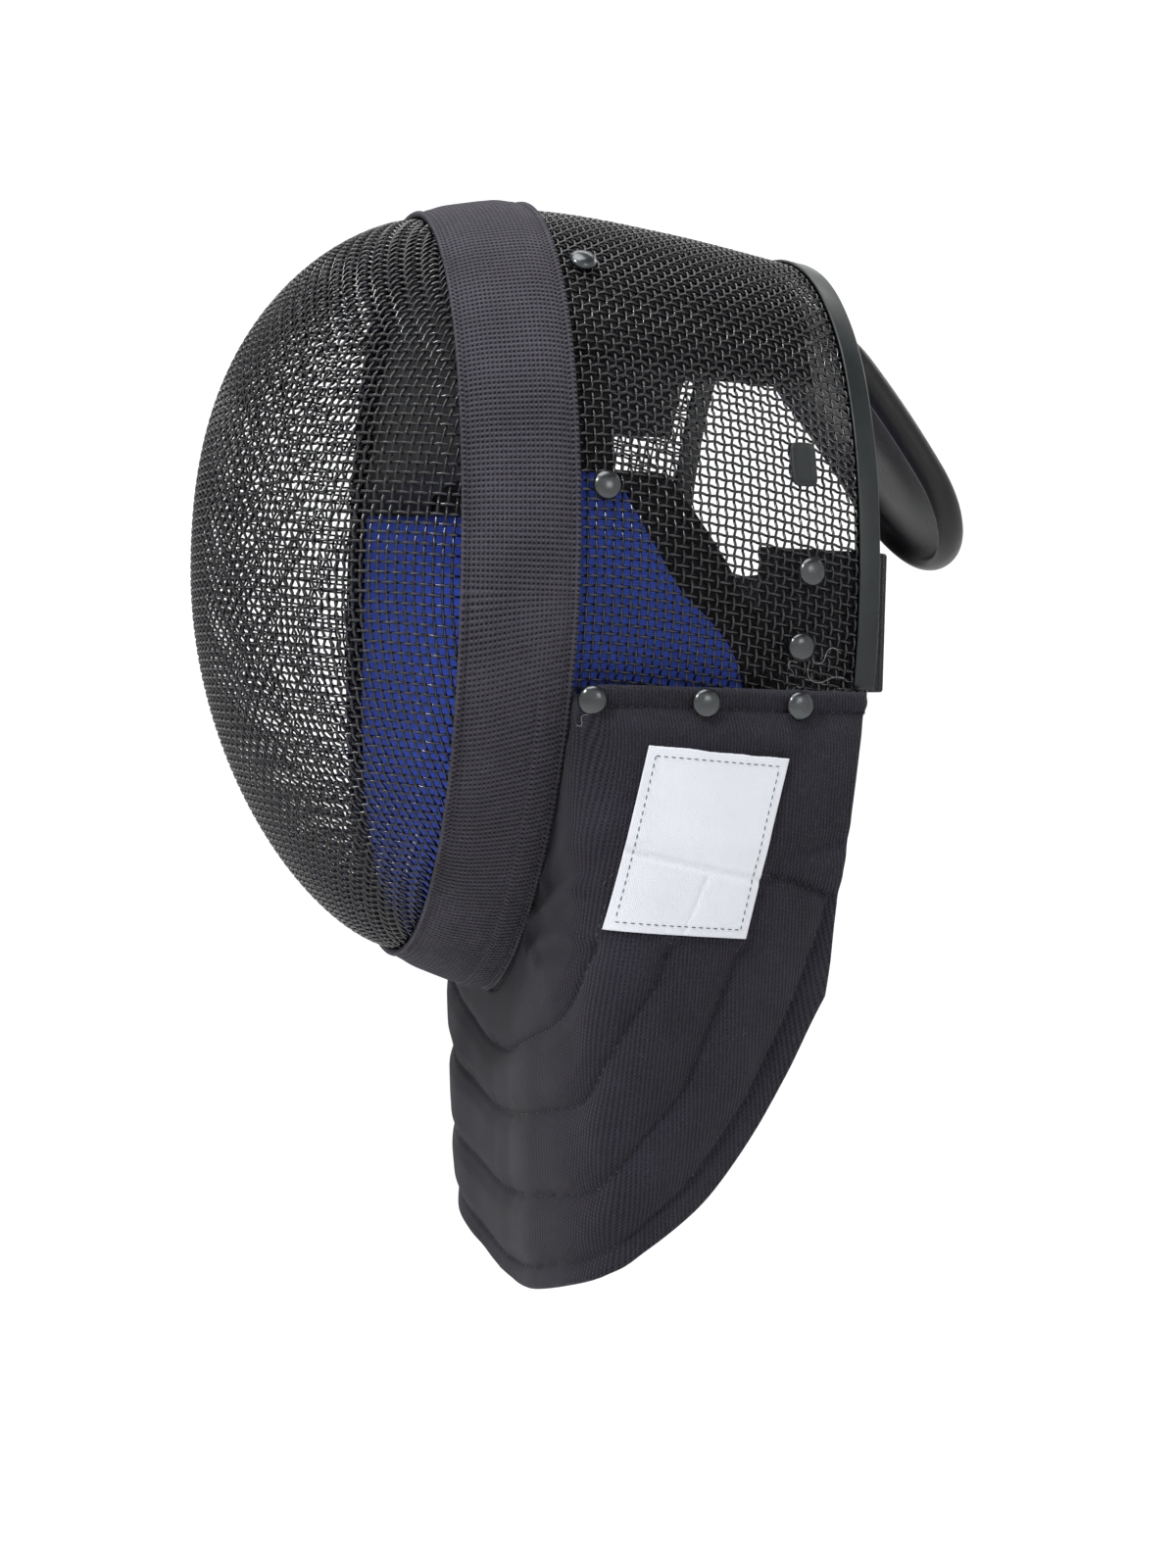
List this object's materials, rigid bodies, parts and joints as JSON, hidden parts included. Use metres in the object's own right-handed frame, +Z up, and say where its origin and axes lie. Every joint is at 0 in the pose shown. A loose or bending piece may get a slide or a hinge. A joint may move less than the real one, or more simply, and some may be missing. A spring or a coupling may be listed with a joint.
{
  "type": "fencing mask with bib",
  "caption": "Fencing mask: wire bulb in front, wire shell over the head, elastic band, inner padding, padded rear tongue, rear strap and a quilted cloth bib.",
  "frame": {"origin": "where the top of the head meets the crown pad, on the middle plane", "axes": "+Z up, the wearer faces -Y, +X to the wearer's left"},
  "size_m": [0.23, 0.2906, 0.3895],
  "materials": {
    "wire": "gloss black enamel on woven wire",
    "elastic": "ribbed charcoal elastic webbing",
    "trim_metal": "black satin, worn at the edge",
    "black_pad": "brushed black lining cloth over foam",
    "blue_lining": "royal blue lining cloth",
    "binding": "black folded tape",
    "bib_cloth": "charcoal knitted cloth, quilted",
    "label_cloth": "white woven cloth",
    "vinyl": "soft black vinyl",
    "strap_elastic": "black ribbed elastic",
    "rivet_metal": "gunmetal black satin",
    "clip_metal": "black satin, bright at the cut edge"
  },
  "bodies": {
    "root": {"front_mesh": "wire", "back_mesh": "wire", "band": "elastic", "rear_edge_trim": "trim_metal", "crown_pad": "black_pad", "face_pad": "black_pad", "side_lining_left": "black_pad", "side_lining_right": "black_pad", "cheek_lining": "blue_lining", "lining_binding": "binding", "bib": "bib_cloth", "label": "label_cloth", "tongue": "vinyl", "rear_strap": "strap_elastic", "rivet_crown_left": "rivet_metal", "rivet_side_left": "rivet_metal", "rivet_strap_upper_left": "rivet_metal", "rivet_strap_lower_left": "rivet_metal", "rivet_hem_front_left": "rivet_metal", "rivet_hem_middle_left": "rivet_metal", "rivet_hem_rear_left": "rivet_metal", "clip_plate_left": "clip_metal", "rivet_crown_right": "rivet_metal", "rivet_side_right": "rivet_metal", "rivet_strap_upper_right": "rivet_metal", "rivet_strap_lower_right": "rivet_metal", "rivet_hem_front_right": "rivet_metal", "rivet_hem_middle_right": "rivet_metal", "rivet_hem_rear_right": "rivet_metal", "clip_plate_right": "clip_metal"}
  },
  "joints": []
}
